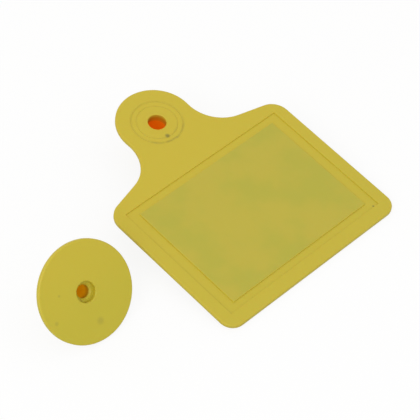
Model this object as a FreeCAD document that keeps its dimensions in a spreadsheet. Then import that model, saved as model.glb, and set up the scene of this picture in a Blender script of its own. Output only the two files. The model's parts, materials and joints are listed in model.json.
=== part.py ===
import FreeCAD, Part
import Sketcher
import math
import os

# Two-piece livestock ear tag, taken apart: a female flag panel with a closed socket under its
# head, and a male button whose hollow barbed stud ends in a hard point.
# Millimetres. +X runs across the flag, +Y from the flag's bottom edge towards its head, +Z up.
# The origin is on the floor, under the middle of the two halves' common bounding box.

SIZES = {
    # flag panel, measured from the hole's axis
    "panel_width": 70.0,
    "panel_reach": 68.5,        # hole axis to the bottom edge
    "panel_thickness": 1.6,
    "panel_edge": 0.4,          # rounding of the face's edge, and bevel of the back's edge
    "shoulder_drop": 16.7,      # hole axis down to the sharp corner of each shoulder
    "shoulder_slope": 14.3,     # degrees, rising inwards to the neck
    "shoulder_round": 5.8,
    "corner_round": 4.5,
    "head_radius": 12.45,
    "head_offset": 0.4,         # the head's centre stands this far above the hole
    "neck_round": 12.3,
    # sunk channel that frames the writing field
    "border_side": 4.1,
    "border_foot": 4.4,
    "field_drop": 19.65,        # hole axis down to the channel's upper wall
    "channel_side": 3.3,
    "channel_end": 2.4,
    "channel_depth": 0.3,
    "channel_lip": 0.1,         # rounding of the channel's upper edges
    # witness rings round the hole
    "ring_inner": 6.35,
    "ring_outer": 7.95,
    "ring_depth": 0.12,
    "ring_width": 0.5,
    # closed socket under the head
    "throat_length": 2.8,
    "mouth_lip": 0.15,
    "socket_wall": 2.4,
    "socket_floor": 1.2,
    "boss_taper": 0.9,          # how much wider the boss is at its root than at its rim
    "boss_edge": 1.2,
    "boss_root": 0.8,
    # male button
    "button_radius": 15.0,
    "button_thickness": 1.6,
    "button_edge": 0.3,
    "stud_radius": 2.75,
    "stud_root_radius": 5.2,
    "stud_root_length": 3.2,
    "ear_room": 11.7,           # between the closed tag's two faces
    "barb_radius": 3.6,
    "barb_land": 1.4,
    "nose_length": 2.2,
    "nose_radius": 2.25,
    "recess_radius": 3.05,
    "recess_depth": 1.7,
    "recess_lip": 0.25,
    "bore_radius": 1.95,
    "bore_lip": 0.45,
    "end_wall": 1.8,            # plastic left between the bore and the hard point
    # hard point
    "point_length": 3.4,
    "point_end": 0.3,
    "stem_radius": 1.1,
    "flange_radius": 1.6,
    "flange_thickness": 0.8,
    # named clearances
    "turning_clearance": 0.1,   # radial, stud in throat
    "barb_clearance": 0.6,      # radial, barb in the wide part of the socket
    "tip_clearance": 1.0,       # point above the socket's floor when closed
    "insert_clearance": 0.02,   # radial, hard point in the stud
    # how the two halves lie
    "button_left": 61.0,        # button centre to the flag's centre line
    "button_ahead": 30.8,       # button centre from the flag's bottom edge
    "button_turn": -3.5,        # degrees about the vertical
}

# Lengths that follow from the ones above, as spreadsheet formulas over the same names.
THROAT_RADIUS = "(sizes.stud_radius + sizes.turning_clearance)"
SOCKET_RADIUS = "(sizes.barb_radius + sizes.barb_clearance)"
RIM_RADIUS = f"({SOCKET_RADIUS} + sizes.socket_wall)"
STUD_HEAD = "(sizes.barb_land + sizes.nose_length + sizes.point_length)"
SHANK_LENGTH = "(sizes.ear_room + sizes.throat_length)"
SOCKET_DEPTH = f"(sizes.throat_length + {STUD_HEAD} + sizes.tip_clearance)"
BOSS_HEIGHT = f"({SOCKET_DEPTH} + sizes.socket_floor - sizes.panel_thickness)"
STUD_SHOULDER = f"(sizes.button_thickness + {SHANK_LENGTH})"
STUD_END = f"({STUD_SHOULDER} + sizes.barb_land + sizes.nose_length)"
FLANGE_SEAT = f"({STUD_END} - sizes.end_wall)"

NEAR = 1e-4

doc = FreeCAD.newDocument("ear_tag")
sheet = doc.addObject("Spreadsheet::Sheet", "sizes")
for row, (alias, number) in enumerate(SIZES.items(), start=1):
    sheet.set(f"A{row}", alias)
    sheet.set(f"B{row}", str(number))
    sheet.setAlias(f"B{row}", alias)
doc.recompute()


def origin_plane(body, role):
    """The body's own origin plane, such as XY_Plane."""
    return next(part for part in body.Origin.OriginFeatures if part.Role == role)


def new_body(name):
    body = doc.addObject("PartDesign::Body", name)
    body.Label = name
    return body


def new_sketch(body, name, role, height=None):
    """An empty sketch on an origin plane, lifted to a height if one is given."""
    sketch = body.newObject("Sketcher::SketchObject", name)
    sketch.AttachmentSupport = [(origin_plane(body, role), "")]
    sketch.MapMode = "FlatFace"
    if height:
        sketch.setExpression("AttachmentOffset.Base.z", height)
    return sketch


def pin_down(sketch, geometry, end, axis, formula):
    """Hold one coordinate of a point at a formula's value, measured from the origin."""
    at = sketch.addConstraint(Sketcher.Constraint("Distance" + axis, -1, 1, geometry, end, 1.0))
    sketch.setExpression(f"Constraints[{at}]", formula)


def add_polygon(sketch, corners):
    """A closed outline whose corners are pairs of formulas."""
    count = len(corners)
    first = sketch.GeometryCount
    ring = [FreeCAD.Vector(math.cos(step), math.sin(step), 0)
            for step in (2 * math.pi * turn / count for turn in range(count))]
    for turn in range(count):
        sketch.addGeometry(Part.LineSegment(ring[turn], ring[(turn + 1) % count]))
    for turn, (across, up) in enumerate(corners):
        follower = first + (turn + 1) % count
        sketch.addConstraint(Sketcher.Constraint("Coincident", first + turn, 2, follower, 1))
        pin_down(sketch, first + turn, 1, "X", across)
        pin_down(sketch, first + turn, 1, "Y", up)


def add_circle(sketch, radius, up="0"):
    """A circle on the sketch's vertical axis."""
    at = sketch.addGeometry(Part.Circle(FreeCAD.Vector(0, 0, 0), FreeCAD.Vector(0, 0, 1), 1.0))
    pin_down(sketch, at, 3, "X", "0")
    pin_down(sketch, at, 3, "Y", up)
    held = sketch.addConstraint(Sketcher.Constraint("Radius", at, 1.0))
    sketch.setExpression(f"Constraints[{held}]", radius)


def add_feature(body, kind, name, sketch, **formulas):
    """A sketch-based feature; it has to change the body's volume."""
    before = 0.0 if body.Shape.isNull() else body.Shape.Volume
    feature = body.newObject("PartDesign::" + kind, name)
    feature.Profile = sketch
    feature.Refine = True
    if kind in ("Revolution", "Groove"):
        feature.ReferenceAxis = (sketch, ["V_Axis"])
        feature.Angle = 360.0
    for prop, formula in formulas.items():
        feature.setExpression(prop, formula)
    doc.recompute()
    grows = kind in ("Pad", "Revolution")
    change = body.Shape.Volume - before
    if (change > 0) != grows or abs(change) < 1e-6:
        raise ValueError(f"{name} changed the volume by {change:.4f}")
    return feature


def soften(body, kind, name, amount, chosen):
    """A Fillet or a Chamfer on the edges of the body's last feature that pass a test."""
    base = body.Tip
    names = [f"Edge{at}" for at, edge in enumerate(base.Shape.Edges, start=1) if chosen(edge)]
    if not names:
        raise ValueError(f"{name} found no edge")
    feature = body.newObject("PartDesign::" + kind, name)
    feature.Base = (base, names)
    feature.setExpression({"Fillet": "Radius", "Chamfer": "Size"}[kind], "sizes." + amount)
    doc.recompute()


def upright_at(across, up=None):
    """Test for upright corner edges a given way from the centre line, and at a given Y."""
    def test(edge):
        low, high = edge.Vertexes[0].Point, edge.Vertexes[-1].Point
        upright = math.hypot(high.x - low.x, high.y - low.y) < NEAR and abs(high.z - low.z) > NEAR
        return upright and across(abs(low.x)) and (up is None or abs(low.y - up) < NEAR)
    return test


def flat_at(height):
    """Test for edges that lie at one height."""
    return lambda edge: all(abs(vertex.Z - height) < NEAR for vertex in edge.Vertexes)


def circle_at(radius, height):
    """Test for a round edge about the Z axis."""
    def test(edge):
        curve = edge.Curve
        return (isinstance(curve, Part.Circle) and abs(curve.Radius - radius) < NEAR
                and abs(curve.Center.z - height) < NEAR)
    return test


def size(alias):
    """A driving dimension, read back from the sheet."""
    return float(sheet.get(alias))


# Radii and heights that the code needs as numbers, in the same terms as the formulas above.
throat_radius = size("stud_radius") + size("turning_clearance")
rim_radius = size("barb_radius") + size("barb_clearance") + size("socket_wall")
stud_head = size("barb_land") + size("nose_length") + size("point_length")
socket_depth = size("throat_length") + stud_head + size("tip_clearance")
boss_height = socket_depth + size("socket_floor") - size("panel_thickness")
shoulder_depth = size("button_thickness") + size("ear_room") + size("throat_length")
stud_length = shoulder_depth + stud_head


def flag_blank(body):
    """The flat sheet: a pentagon with sloping shoulders, and a round head over its peak."""
    flag = new_sketch(body, "flag_outline", "XY_Plane")
    half, foot = "sizes.panel_width / 2", "-sizes.panel_reach"
    shoulder = "-sizes.shoulder_drop"
    peak = "sizes.panel_width / 2 * tan(sizes.shoulder_slope) - sizes.shoulder_drop"
    add_polygon(flag, [("-" + half, foot), (half, foot), (half, shoulder), ("0", peak),
                       ("-" + half, shoulder)])
    add_feature(body, "Pad", "flag", flag, Length="sizes.panel_thickness")
    head = new_sketch(body, "head_outline", "XY_Plane")
    add_circle(head, "sizes.head_radius", "sizes.head_offset")
    add_feature(body, "Pad", "head", head, Length="sizes.panel_thickness")


def soften_flag(body):
    """The corners, shoulders and neck in plan, then the sheet's front and back edges."""
    side = size("panel_width") / 2
    at_side = lambda across: abs(across - side) < NEAR
    soften(body, "Fillet", "neck", "neck_round", upright_at(lambda across: across < side - 1.0))
    soften(body, "Fillet", "shoulders", "shoulder_round", upright_at(at_side, -size("shoulder_drop")))
    soften(body, "Fillet", "corners", "corner_round", upright_at(at_side, -size("panel_reach")))
    soften(body, "Fillet", "face_edge", "panel_edge", flat_at(size("panel_thickness")))
    soften(body, "Chamfer", "back_edge", "panel_edge", flat_at(0.0))


def socket_boss(body):
    """The closed boss under the head that hides the stud's hard point."""
    boss = new_sketch(body, "boss_section", "XZ_Plane")
    add_polygon(boss, [("0", "0"), (f"{RIM_RADIUS} + sizes.boss_taper", "0"),
                       (RIM_RADIUS, f"-{BOSS_HEIGHT}"), ("0", f"-{BOSS_HEIGHT}")])
    add_feature(body, "Revolution", "boss", boss)
    soften(body, "Chamfer", "boss_rim", "boss_edge", circle_at(rim_radius, -boss_height))
    soften(body, "Chamfer", "boss_foot", "boss_root", circle_at(rim_radius + size("boss_taper"), 0.0))


def locking_socket(body):
    """The stepped socket: a throat that turns on the stud, and a wide end that holds its barb."""
    face = "sizes.panel_thickness"
    step = f"{face} - sizes.throat_length"
    floor = f"{face} - {SOCKET_DEPTH}"
    socket = new_sketch(body, "socket_section", "XZ_Plane")
    add_polygon(socket, [("0", floor), (SOCKET_RADIUS, floor), (SOCKET_RADIUS, step),
                         (THROAT_RADIUS, step), (THROAT_RADIUS, face), ("0", face)])
    add_feature(body, "Groove", "socket", socket)
    soften(body, "Chamfer", "mouth", "mouth_lip", circle_at(throat_radius, size("panel_thickness")))


def witness_rings(body):
    """Two fine rings in the face, over the wall of the boss."""
    face, deep = "sizes.panel_thickness", "sizes.ring_depth"
    rings = new_sketch(body, "ring_section", "XZ_Plane")
    for radius in ("sizes.ring_inner", "sizes.ring_outer"):
        add_polygon(rings, [(f"{radius} - sizes.ring_width", f"{face} + {deep}"),
                            (radius, f"{face} - {deep}"),
                            (f"{radius} + sizes.ring_width", f"{face} + {deep}")])
    add_feature(body, "Groove", "rings", rings)


def rectangle(side, top, foot):
    """Corners of an upright rectangle that is centred across the flag."""
    return [("-" + side, foot), (side, foot), (side, top), ("-" + side, top)]


def writing_frame(body):
    """The sunk channel round the writing field; field and border stay at the same height."""
    frame = new_sketch(body, "frame_outline", "XY_Plane", "sizes.panel_thickness")
    outer = "(sizes.panel_width / 2 - sizes.border_side)"
    inner = "(sizes.panel_width / 2 - sizes.border_side - sizes.channel_side)"
    add_polygon(frame, rectangle(outer, "-sizes.field_drop",
                                 "-(sizes.panel_reach - sizes.border_foot)"))
    add_polygon(frame, rectangle(inner, "-(sizes.field_drop + sizes.channel_end)",
                                 "-(sizes.panel_reach - sizes.border_foot - sizes.channel_end)"))
    add_feature(body, "Pocket", "channel", frame, Length="sizes.channel_depth")
    face = flat_at(size("panel_thickness"))
    inside = size("panel_width") / 2 - size("border_side")
    straight = lambda edge: isinstance(edge.Curve, Part.Line)
    soften(body, "Fillet", "channel_edges", "channel_lip", lambda edge: face(edge) and straight(edge)
                and all(abs(vertex.X) < inside + NEAR for vertex in edge.Vertexes))


def make_panel():
    """Female half: one moulding."""
    body = new_body("tag_panel")
    flag_blank(body)
    soften_flag(body)
    socket_boss(body)
    locking_socket(body)
    witness_rings(body)
    writing_frame(body)
    return body


def button_blank(body):
    """Disc, flared root, shank, barb and nose, turned about the stud's axis."""
    back, end = "-sizes.button_thickness", f"-{STUD_END}"
    land = f"-({STUD_SHOULDER} + sizes.barb_land)"
    section = new_sketch(body, "button_section", "XZ_Plane")
    add_polygon(section, [("0", "0"), ("sizes.button_radius", "0"),
                          ("sizes.button_radius", back), ("sizes.stud_root_radius", back),
                          ("sizes.stud_radius", f"{back} - sizes.stud_root_length"),
                          ("sizes.stud_radius", f"-{STUD_SHOULDER}"),
                          ("sizes.barb_radius", f"-{STUD_SHOULDER}"),
                          ("sizes.barb_radius", land), ("sizes.nose_radius", end), ("0", end)])
    add_feature(body, "Revolution", "button", section)
    disc, back_face = size("button_radius"), -size("button_thickness")
    soften(body, "Chamfer", "rim", "button_edge",
           lambda edge: circle_at(disc, 0.0)(edge) or circle_at(disc, back_face)(edge))


def pin_hole(body):
    """The stepped hole for the applicator's pin, and the narrow hole for the hard point's stem."""
    steps = {"recess": ("sizes.recess_radius", "sizes.recess_depth"),
             "bore": ("sizes.bore_radius", f"{FLANGE_SEAT} - sizes.flange_thickness"),
             "flange_seat": ("sizes.flange_radius + sizes.insert_clearance", FLANGE_SEAT),
             "stem_hole": ("sizes.stem_radius + sizes.insert_clearance", STUD_END)}
    for name, (radius, depth) in steps.items():
        ring = new_sketch(body, name + "_outline", "XY_Plane")
        add_circle(ring, radius)
        add_feature(body, "Pocket", name, ring, Length=depth)
    soften(body, "Chamfer", "recess_edge", "recess_lip", circle_at(size("recess_radius"), 0.0))
    soften(body, "Chamfer", "bore_edge", "bore_lip",
           circle_at(size("bore_radius"), -size("recess_depth")))


def make_button():
    """Male half: one moulding."""
    body = new_body("male_button")
    button_blank(body)
    pin_hole(body)
    return body


def make_tip():
    """The hard point, riveted through the stud's end wall by its stem and flange."""
    body = new_body("stud_tip")
    section = new_sketch(body, "tip_section", "XZ_Plane")
    flange_top = f"sizes.flange_thickness - {FLANGE_SEAT}"
    point = f"-({STUD_END} + sizes.point_length)"
    add_polygon(section, [("0", flange_top), ("sizes.flange_radius", flange_top),
                          ("sizes.flange_radius", f"-{FLANGE_SEAT}"),
                          ("sizes.stem_radius", f"-{FLANGE_SEAT}"),
                          ("sizes.stem_radius", f"-{STUD_END}"),
                          ("sizes.nose_radius", f"-{STUD_END}"),
                          ("sizes.point_end", point), ("0", point)])
    add_feature(body, "Revolution", "tip", section)
    return body


def lean(raised, low):
    """Tilt about X, in radians, at which two corners touch the floor together.

    A corner is (reach towards -Y, height) in the piece's own frame.
    """
    return math.atan2(low[1] - raised[1], low[0] - raised[0])


def resting_height(tilt, corner):
    """Height of the local origin that puts a corner on the floor."""
    return corner[0] * math.sin(tilt) - corner[1] * math.cos(tilt)


def lay_down(bodies, tilt, corner, turn, across, along):
    """Place bodies that share one local frame: tilted, turned and resting on a corner."""
    z_axis, x_axis = FreeCAD.Vector(0, 0, 1), FreeCAD.Vector(1, 0, 0)
    heading = FreeCAD.Rotation(z_axis, turn)
    turned = heading.multiply(FreeCAD.Rotation(x_axis, math.degrees(tilt)))
    for body in bodies:
        spot = FreeCAD.Vector(across, along, resting_height(tilt, corner))
        body.Placement = FreeCAD.Placement(spot, turned)


def place_halves(panel, button, tip):
    """The flag leans on its boss; the button leans on its rim and its hard point."""
    boss_corner = (rim_radius - size("boss_edge"), -boss_height)
    foot_corner = (size("panel_reach") - size("panel_edge"), 0.0)
    tilt = lean(boss_corner, foot_corner)
    foot = foot_corner[0] * math.cos(tilt)
    lay_down([panel], tilt, foot_corner, 0.0, 0.0, foot)
    rim_corner = (size("button_radius"), size("button_edge") - size("button_thickness"))
    point_corner = (size("point_end"), -stud_length)
    lay_down([button, tip], lean(point_corner, rim_corner), rim_corner, size("button_turn"),
             -size("button_left"), size("button_ahead"))
    doc.recompute()


def centre_on_floor(bodies):
    """Shift everything so that the origin is under the middle of the common box."""
    box = Part.makeCompound([body.Shape for body in bodies]).optimalBoundingBox(False)
    shift = FreeCAD.Vector(-box.Center.x, -box.Center.y, -box.ZMin)
    for body in bodies:
        body.Placement = FreeCAD.Placement(body.Placement.Base + shift, body.Placement.Rotation)
    doc.recompute()


def check_document(bodies):
    """Stop if any object failed or any piece isn't one valid solid."""
    for thing in doc.Objects:
        if "Invalid" in thing.State or "Error" in thing.State:
            raise ValueError(f"{thing.Name} failed")
    for body in bodies:
        shape = body.Shape
        if shape.isNull() or not shape.isValid() or len(shape.Solids) != 1:
            raise ValueError(f"{body.Label} isn't one valid solid")


panel, button, tip = make_panel(), make_button(), make_tip()
pieces = [panel, button, tip]
place_halves(panel, button, tip)
centre_on_floor(pieces)
check_document(pieces)
os.makedirs("parts", exist_ok=True)
for piece in pieces:
    piece.Shape.exportStep(f"parts/{piece.Label}.step")
    box = piece.Shape.optimalBoundingBox(False)
    print(f"{piece.Label}: {piece.Shape.Volume:.1f} mm3, {box.XLength:.2f} x {box.YLength:.2f}"
          f" x {box.ZLength:.2f} mm, lowest point {box.ZMin:.4f}")
print(f"flag tilt {math.degrees(panel.Placement.Rotation.Angle):.2f} degrees,"
      f" boss {boss_height:.2f} mm deep, stud {stud_length:.2f} mm long")
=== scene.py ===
# %% [markdown]
# A livestock ear tag in two halves, lying apart on a table. One half is the flag panel: a soft
# yellow plastic sheet with a round head, and a closed socket moulded under that head. The other
# is the button, whose hollow stud goes through the ear and locks in the socket.
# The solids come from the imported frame, already at their real size and place, so this script
# makes the finishes, the light and the camera.

import json
import math

import bpy
from mathutils import Matrix, Vector


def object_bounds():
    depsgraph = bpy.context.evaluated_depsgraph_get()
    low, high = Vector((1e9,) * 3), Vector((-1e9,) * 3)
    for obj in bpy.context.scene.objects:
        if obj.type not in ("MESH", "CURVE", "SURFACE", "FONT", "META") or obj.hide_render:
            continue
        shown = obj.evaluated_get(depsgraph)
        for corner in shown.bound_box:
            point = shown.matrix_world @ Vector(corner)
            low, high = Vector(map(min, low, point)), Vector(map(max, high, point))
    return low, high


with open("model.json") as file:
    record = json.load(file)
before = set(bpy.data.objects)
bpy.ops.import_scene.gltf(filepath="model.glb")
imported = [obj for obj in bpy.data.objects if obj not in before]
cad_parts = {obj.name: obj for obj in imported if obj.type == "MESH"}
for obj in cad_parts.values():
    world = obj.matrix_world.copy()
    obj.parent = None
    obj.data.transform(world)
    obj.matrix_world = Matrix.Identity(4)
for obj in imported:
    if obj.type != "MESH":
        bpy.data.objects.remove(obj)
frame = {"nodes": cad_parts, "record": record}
cad_low, cad_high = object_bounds()
MM = 0.001
print("solids' box, mm:", [round(side / MM, 2) for side in cad_high - cad_low])

# %% [markdown]
# Each half leans on the floor at its own angle, so a mark that belongs at a place on the flag is
# easier to find in the flag's own frame. Two round mounts give those frames: the socket's throat
# stands square to the flag's face, and the pin's bore stands square to the button's face.

# %% A frame for each half
mounts = {mount["name"]: mount for mount in frame["record"]["mounts"]}


def half_frame(mount_name, towards):
    """Matrix of a half: origin on the mount's axis, Z out of its face, Y near a direction."""
    mount = mounts[mount_name]
    up = Vector(mount["axis"]).normalized()
    across = Vector(towards).cross(up).normalized()
    along = up.cross(across)
    turn = Matrix((across, along, up)).transposed().to_4x4()
    return Matrix.Translation(mount["pos_m"]) @ turn


throat_length = mounts["socket_throat"]["dims"]["length_mm"] * MM
MOUTH_LIP = 0.15 * MM
flag_frame = half_frame("socket_throat", (0, 1, 0))
flag_frame = flag_frame @ Matrix.Translation((0, 0, throat_length / 2 + MOUTH_LIP))
button_axis = half_frame("pin_bore", (0, 1, 0))


def reach(node, matrix):
    """Lowest and highest corner of a node, measured in a half's own frame."""
    to_local = matrix.inverted()
    points = [to_local @ vertex.co for vertex in frame["nodes"][node].data.vertices]
    return [Vector(pick(point[axis] for point in points) for axis in range(3))
            for pick in (min, max)]


flag_low, flag_high = reach("tag_panel", flag_frame)
button_low, button_high = reach("male_button", button_axis)
button_frame = button_axis @ Matrix.Translation((0, 0, button_high.z))
print("flag in its own frame, mm:", [round(value / MM, 2) for value in (*flag_low, *flag_high)])
print("button radius, mm:", round(button_high.x / MM, 2))

# %% [markdown]
# A material is a graph of nodes. Wiring it by hand takes a line for each link, and hides the
# idea. Here a link is wrapped in a small class, so that `1 - mask` or `across * across` adds the
# Math nodes by itself, and one method adds any other node from its type, settings and sockets.

# %% Shader maths as expressions
class Link:
    """An output socket that takes part in arithmetic."""

    def __init__(self, shader, socket):
        self.shader, self.socket = shader, socket

    def maths(self, operation, *values):
        sockets = dict(enumerate(values))
        return self.shader.node("ShaderNodeMath", sockets, operation=operation)

    def __add__(self, other):
        return self.maths("ADD", self, other)

    def __radd__(self, other):
        return self.maths("ADD", other, self)

    def __sub__(self, other):
        return self.maths("SUBTRACT", self, other)

    def __rsub__(self, other):
        return self.maths("SUBTRACT", other, self)

    def __mul__(self, other):
        return self.maths("MULTIPLY", self, other)

    def __rmul__(self, other):
        return self.maths("MULTIPLY", other, self)

    def __pow__(self, other):
        return self.maths("POWER", self, other)

    def __abs__(self):
        return self.maths("ABSOLUTE", self)

    def at_most(self, other):
        return self.maths("MINIMUM", self, other)

    def at_least(self, other):
        return self.maths("MAXIMUM", self, other)

    def rise(self, start, end):
        """0 before start, 1 after end, smooth between."""
        sockets = {"Value": self, "From Min": start, "From Max": end}
        return self.shader.node("ShaderNodeMapRange", sockets, interpolation_type="SMOOTHSTEP")

    def fall(self, start, end):
        return 1 - self.rise(start, end)

    def near(self, middle, width):
        """1 where the value is the middle one, 0 a width away from it."""
        return abs(self - middle).fall(0.0, width)


class Shader:
    """The node tree of a material or a world, whose nodes are added by one method."""

    def __init__(self, owner):
        self.owner = owner
        owner.use_nodes = True
        self.tree = owner.node_tree
        self.tree.nodes.clear()

    def node(self, kind, sockets=None, out=0, **settings):
        """Add a node: its settings first, then each socket's value or link."""
        made = self.tree.nodes.new(kind)
        for name, value in settings.items():
            setattr(made, name, value)
        for name, value in (sockets or {}).items():
            if isinstance(value, Link):
                self.tree.links.new(value.socket, made.inputs[name])
            else:
                made.inputs[name].default_value = value
        return Link(self, made.outputs[out]) if made.outputs else None

    def blend(self, first, second, factor):
        """One colour over another, by a mask."""
        colours = {0: factor, 6: as_colour(first), 7: as_colour(second)}
        return self.node("ShaderNodeMix", colours, out=2, data_type="RGBA")

    def noise(self, place, scale, detail=2.0, roughness=0.5):
        """Soft random values about 0.5, at a scale in cells for each millimetre."""
        sockets = {"Vector": place, "Scale": scale, "Detail": detail, "Roughness": roughness}
        return self.node("ShaderNodeTexNoise", sockets)

    def local(self, matrix):
        """Position in millimetres in a half's own frame: the vector, and its three parts."""
        inverse = matrix.inverted()
        here = self.node("ShaderNodeTexCoord", out=3)
        sockets = {"Vector": here, "Location": inverse.translation / MM,
                   "Rotation": inverse.to_euler(), "Scale": (1 / MM,) * 3}
        place = self.node("ShaderNodeMapping", sockets)
        return place, *(self.node("ShaderNodeSeparateXYZ", {0: place}, out=axis)
                        for axis in range(3))

    def finish(self, surface, kind="Material"):
        self.node("ShaderNodeOutput" + kind, {"Surface": surface})
        return self.owner

    def seen(self):
        """1 for what the camera sees, straight, in a reflection or through something clear."""
        camera, glossy, clear = (self.node("ShaderNodeLightPath", out=ray) for ray in
                                 ("Is Camera Ray", "Is Glossy Ray", "Is Transmission Ray"))
        return camera.at_least(glossy).at_least(clear)


def as_colour(value):
    return value if isinstance(value, Link) else (*value, 1.0)


def new_material(name):
    return Shader(bpy.data.materials.new(name))


print("shader helpers ready")

# %% [markdown]
# The plastic is a soft polyurethane, coloured right through. Its mould was spark-eroded, so the
# face has a fine satin grain, which breaks the gloss up rather than showing as bumps. Light also
# soaks a little way into it, which a trace of subsurface scattering gives.

# %% The satin finish both halves share
GRAIN_PER_MM = 5.0
HANDLING_PER_MM = 0.12
GRAIN_DEPTH = 0.02 * MM
GRAIN_STRENGTH = 0.2
ROUGHNESS, GRAIN_ROUGHNESS, HANDLING_ROUGHNESS = 0.44, 0.10, 0.08
PLASTIC_IOR = 1.45
SOAK_SHARE = 0.15
SOAK_RADIUS = (1.0 * MM, 0.5 * MM, 0.08 * MM)


def satin(shader, place, colour, painted_glow):
    """Colour, satin grain, and a painted glow that stands in for the light coming through the
    walls of a hole.
    """
    fine = shader.noise(place, GRAIN_PER_MM, 3.0, 0.6)
    broad = shader.noise(place, HANDLING_PER_MM)
    rough = ROUGHNESS + GRAIN_ROUGHNESS * fine + HANDLING_ROUGHNESS * broad
    bump = shader.node("ShaderNodeBump", {"Strength": GRAIN_STRENGTH, "Distance": GRAIN_DEPTH,
                                          "Height": fine})
    return shader.node("ShaderNodeBsdfPrincipled", {
        "Base Color": colour, "Roughness": rough, "Normal": bump,
        "IOR": PLASTIC_IOR, "Subsurface Weight": SOAK_SHARE,
        "Subsurface Radius": SOAK_RADIUS, "Subsurface Scale": 1.0,
        "Emission Color": painted_glow, "Emission Strength": 1.0})


print("satin finish ready")

# %% [markdown]
# The flag isn't one even yellow. The head and the border are a warm yellow that dulls towards the
# foot, and that dulling is partly painted shade. The writing field is a shade greener and duller,
# because it is worn by handling, and it is blotched. Painted shade darkens the moulded rings
# round the hole, most of all below it, in patches.
# Deep in the hole the colour is a painted orange shade with a painted orange glow, standing in
# for light that has bounced off and soaked through so much yellow plastic that only orange is
# left.

# %% The flag's plastic
WARM = (0.560, 0.440, 0.028)
# The border's colour at the foot, partly painted shade.
SHADED_FOOT = (0.530, 0.430, 0.030)
FIELD = (0.490, 0.410, 0.040)
FIELD_GREEN = (0.440, 0.400, 0.038)
# Dark colour for real marks and specks, and for the painted shade in the ring grooves.
GRIME_AND_SHADE = (0.180, 0.160, 0.030)
# Painted shade in the socket's throat, and a painted glow deeper in.
THROAT_PAINTED_SHADE = (0.480, 0.200, 0.004)
SOCKET_PAINTED_GLOW = (0.300, 0.045, 0.000)
FIELD_HALF, FIELD_TOP, FIELD_FOOT = 27.6, -22.05, -61.7
FOOT_SHADE_FADE = (-60.0, 0.0)
INNER_RING, OUTER_RING = (6.2, 0.5), (8.0, 0.7)
INNER_RING_SHARE = 0.6
RING_SHADE, LOWER_RING_SHADE = 0.12, 0.5
FLAG_MARKS = (((-1.15, -5.85), 1.1, 0.8), ((29.1, -63.7), 0.5, 0.7))
SPECK_SHARE = 0.5
SOCKET_WALL = (4.3, 4.6)
THROAT_DEPTH, SOCKET_GLOW_DEPTH = (-1.8, 0.2), (-5.0, -1.0)


def inside(across, along, half, top, foot, soft=0.3):
    """1 inside an upright rectangle of the flag, in millimetres."""
    sides = abs(across).fall(half - soft, half)
    return sides * along.rise(foot, foot + soft) * along.fall(top - soft, top)


def spot(across, along, middle, radius):
    """1 in the middle of a round mark, 0 at its edge."""
    away = ((across - middle[0]) ** 2 + (along - middle[1]) ** 2) ** 0.5
    return away.fall(0.2 * radius, radius)


def flag_plastic():
    shader = new_material("flag_plastic")
    place, across, along, height = shader.local(flag_frame)
    bore = (across * across + along * along) ** 0.5
    # The border dulls from head to foot: partly painted shade along the flag.
    colour = shader.blend(WARM, SHADED_FOOT, along.fall(*FOOT_SHADE_FADE))
    field = inside(across, along, FIELD_HALF, FIELD_TOP, FIELD_FOOT)
    blotch = shader.noise(place, 0.055, 3.0, 0.55).rise(0.38, 0.62)
    colour = shader.blend(colour, shader.blend(FIELD, FIELD_GREEN, blotch), field)
    # Painted shade in the moulded rings round the hole, stronger and in patches below it; real
    # marks and specks of grime are then added to it.
    shade_patches = shader.noise(place, 0.45, 4.0).rise(0.35, 0.75)
    rings = bore.near(*INNER_RING) * INNER_RING_SHARE + bore.near(*OUTER_RING)
    below = along.fall(-9.0, -2.0) * shade_patches
    dirt_and_shade = rings * (RING_SHADE + LOWER_RING_SHADE * below)
    for middle, radius, share in FLAG_MARKS:
        dirt_and_shade = dirt_and_shade.at_least(spot(across, along, middle, radius) * share)
    dirt_and_shade = dirt_and_shade.at_least(shader.noise(place, 1.1, 3.0).rise(0.74, 0.80) * SPECK_SHARE)
    colour = shader.blend(colour, GRIME_AND_SHADE, dirt_and_shade.at_most(1.0))
    # Painted shade and a painted glow inside the socket.
    hole = bore.fall(*SOCKET_WALL)
    colour = shader.blend(colour, THROAT_PAINTED_SHADE, hole * height.fall(*THROAT_DEPTH))
    painted_glow = shader.blend((0, 0, 0), SOCKET_PAINTED_GLOW, hole * height.fall(*SOCKET_GLOW_DEPTH))
    return shader.finish(satin(shader, place, colour, painted_glow))


dress_later = [("tag_panel", flag_plastic())]
print("flag plastic ready")

# %% [markdown]
# The button is much the same warm yellow as the flag's head. It is a little duller towards its
# foot, which is painted shade for the floor close below it, mixed with random blotches.
# Its face is clean apart from a few specks. The bore behind its recess is painted a dull orange
# brown shade, with a painted glow deeper in, for light that has bounced through the plastic.

# %% The button's plastic
BUTTON_TOP = (0.560, 0.450, 0.030)
# Painted shade: the button's colour at its foot.
BUTTON_SHADED_FOOT = (0.520, 0.440, 0.028)
# Painted shade in the bore, and a painted glow deeper in.
BORE_PAINTED_SHADE = (0.420, 0.230, 0.004)
BORE_PAINTED_GLOW = (0.230, 0.095, 0.000)
BUTTON_SHADE_FADE = (-14.0, 14.0)
BLOTCH_SHARE = 0.4
BUTTON_MARKS = (((-7.6, 4.1), 0.6), ((-12.3, -2.0), 0.9), ((-0.6, -9.5), 1.6))
MARK_SHARE = 0.25
BORE_WALL = (2.5, 2.7)
BORE_DEPTH, BORE_GLOW_DEPTH = (-3.0, -1.7), (-5.0, -2.2)


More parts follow.
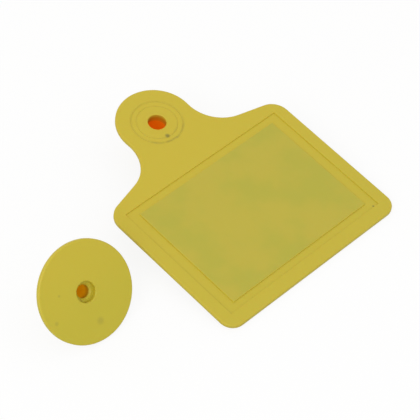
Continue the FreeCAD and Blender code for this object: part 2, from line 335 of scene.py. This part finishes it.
def button_plastic():
    shader = new_material("button_plastic")
    place, across, along, height = shader.local(button_frame)
    bore = (across * across + along * along) ** 0.5
    blotch = shader.noise(place, 0.08, 3.0)
    # Painted shade towards the foot of the face, with random blotches mixed in.
    foot = (along.fall(*BUTTON_SHADE_FADE) + blotch * BLOTCH_SHARE).at_most(1.0)
    colour = shader.blend(BUTTON_TOP, BUTTON_SHADED_FOOT, foot)
    specks = shader.noise(place, 1.2, 3.0).rise(0.73, 0.79) * SPECK_SHARE
    for middle, radius in BUTTON_MARKS:
        specks = specks.at_least(spot(across, along, middle, radius) * MARK_SHARE)
    colour = shader.blend(colour, GRIME_AND_SHADE, specks)
    # Painted shade and a painted glow inside the bore.
    hole = bore.fall(*BORE_WALL)
    colour = shader.blend(colour, BORE_PAINTED_SHADE, hole * height.fall(*BORE_DEPTH))
    painted_glow = shader.blend((0, 0, 0), BORE_PAINTED_GLOW, hole * height.fall(*BORE_GLOW_DEPTH))
    return shader.finish(satin(shader, place, colour, painted_glow))


dress_later.append(("male_button", button_plastic()))
print("button plastic ready")

# %% [markdown]
# The hard point is a small turned brass pin, dulled in patches. Once it has its finish, each
# solid is given its material.

# %% The point's brass
BRASS = (0.700, 0.500, 0.220)
DULL_BRASS = (0.500, 0.360, 0.160)
BRASS_ROUGHNESS, DULL_ROUGHNESS = 0.28, 0.2


def tip_brass():
    shader = new_material("tip_brass")
    place = shader.local(button_frame)[0]
    dull = shader.noise(place, 3.0, 4.0)
    return shader.finish(shader.node("ShaderNodeBsdfPrincipled", {
        "Base Color": shader.blend(BRASS, DULL_BRASS, dull), "Metallic": 1.0,
        "Roughness": BRASS_ROUGHNESS + DULL_ROUGHNESS * dull}))


def dress(node, material):
    """Give a solid from the frame a better material, in every slot it has."""
    mesh = frame["nodes"][node].data
    if not mesh.materials:
        mesh.materials.append(material)
    for index in range(len(mesh.materials)):
        mesh.materials[index] = material
    print(node, "wears", material.name)


for node, material in [*dress_later, ("stud_tip", tip_brass())]:
    dress(node, material)

# %% [markdown]
# The table is white, and so is everything past it. White here is the colour of the surfaces that
# the camera sees, not more light on the tag: what the camera sees of the floor is mostly a white
# of strength one, with enough plain white surface left in it to hold the tag's soft shadow.

# %% Table and sky
WHITE = (1.0, 1.0, 1.0, 1.0)
TABLE_SEEN = (0.92, 0.92, 0.92)
TABLE_COLOUR = (0.62, 0.62, 0.60)
SHADOW_SHARE = 0.14
FLOOR_HALF = 3.0
SKY_COLOUR = (1.0, 0.99, 0.97, 1.0)
SKY = 0.85
FLOOR_GAP = 0.05 * MM


def table_white():
    """Mostly plain white to the camera, with a share of real surface that takes the shadow."""
    shader = new_material("table_white")
    seen = shader.seen()
    colour = shader.blend(TABLE_COLOUR, TABLE_SEEN, seen)
    paint = shader.node("ShaderNodeBsdfDiffuse", {"Color": colour})
    white = shader.node("ShaderNodeEmission", {"Color": WHITE})
    mixed = shader.node("ShaderNodeMixShader", {0: seen * (1 - SHADOW_SHARE),
                                                1: paint, 2: white})
    return shader.finish(mixed)


bpy.ops.mesh.primitive_plane_add(size=2 * FLOOR_HALF, location=(0, 0, cad_low.z - FLOOR_GAP))
floor = bpy.context.object
floor.name = "table_top"
floor.data.materials.append(table_white())


def soft_sky():
    """Plain soft light from all round, seen by the camera as white."""
    shader = Shader(bpy.data.worlds.new("soft_sky"))
    light = shader.node("ShaderNodeBackground", {"Color": SKY_COLOUR, "Strength": SKY})
    white = shader.node("ShaderNodeBackground", {"Color": WHITE})
    mixed = shader.node("ShaderNodeMixShader", {0: shader.seen(), 1: light, 2: white})
    return shader.finish(mixed, "World")


bpy.context.scene.world = soft_sky()
print("floor and sky ready")

# %% [markdown]
# One large soft lamp stands above the tag, on the camera's side and to its left. It is what draws
# a bright line along the edges that face it and leaves the far walls of the channel dim.

# %% Lamp
def soft_lamp(name, place, size, watts):
    light = bpy.data.lights.new(name, "AREA")
    light.size, light.energy = size, watts
    lamp = bpy.data.objects.new(name, light)
    lamp.location = place
    lamp.rotation_mode = "QUATERNION"
    lamp.rotation_quaternion = Vector(place).to_track_quat("Z", "Y")
    bpy.context.collection.objects.link(lamp)


soft_lamp("window_light", place=(-0.9, -0.35, 0.85), size=0.7, watts=5.0)
print("lamp ready")

# %% [markdown]
# The camera stands far off with a long lens, so both halves keep their proportions. Its place
# follows from the tag's own box: an azimuth and elevation round a point near the middle.

# %% Camera
AZIMUTH, ELEVATION, ROLL = (math.radians(angle) for angle in (-44.636, 46.745, 0.427))
DISTANCE = 0.56467
AIM = Vector((7.316, -9.057, -1.35)) * MM
LENS_MM = 166.5
CLIP = (0.01, 50.0)
scene = bpy.context.scene
back = Vector((math.sin(AZIMUTH) * math.cos(ELEVATION), -math.cos(AZIMUTH) * math.cos(ELEVATION),
               math.sin(ELEVATION)))
lens = bpy.data.cameras.new("camera")
lens.lens = LENS_MM
lens.clip_start, lens.clip_end = CLIP
camera = bpy.data.objects.new("camera", lens)
camera.rotation_mode = "QUATERNION"
level = (-back).to_track_quat("-Z", "Y")
camera.rotation_quaternion = level @ Matrix.Rotation(ROLL, 3, "Z").to_quaternion()
camera.location = (cad_low + cad_high) / 2 + AIM + back * DISTANCE
scene.collection.objects.link(camera)
scene.camera = camera
scene.view_settings.view_transform = "Standard"
print("camera", [round(value, 3) for value in camera.location])
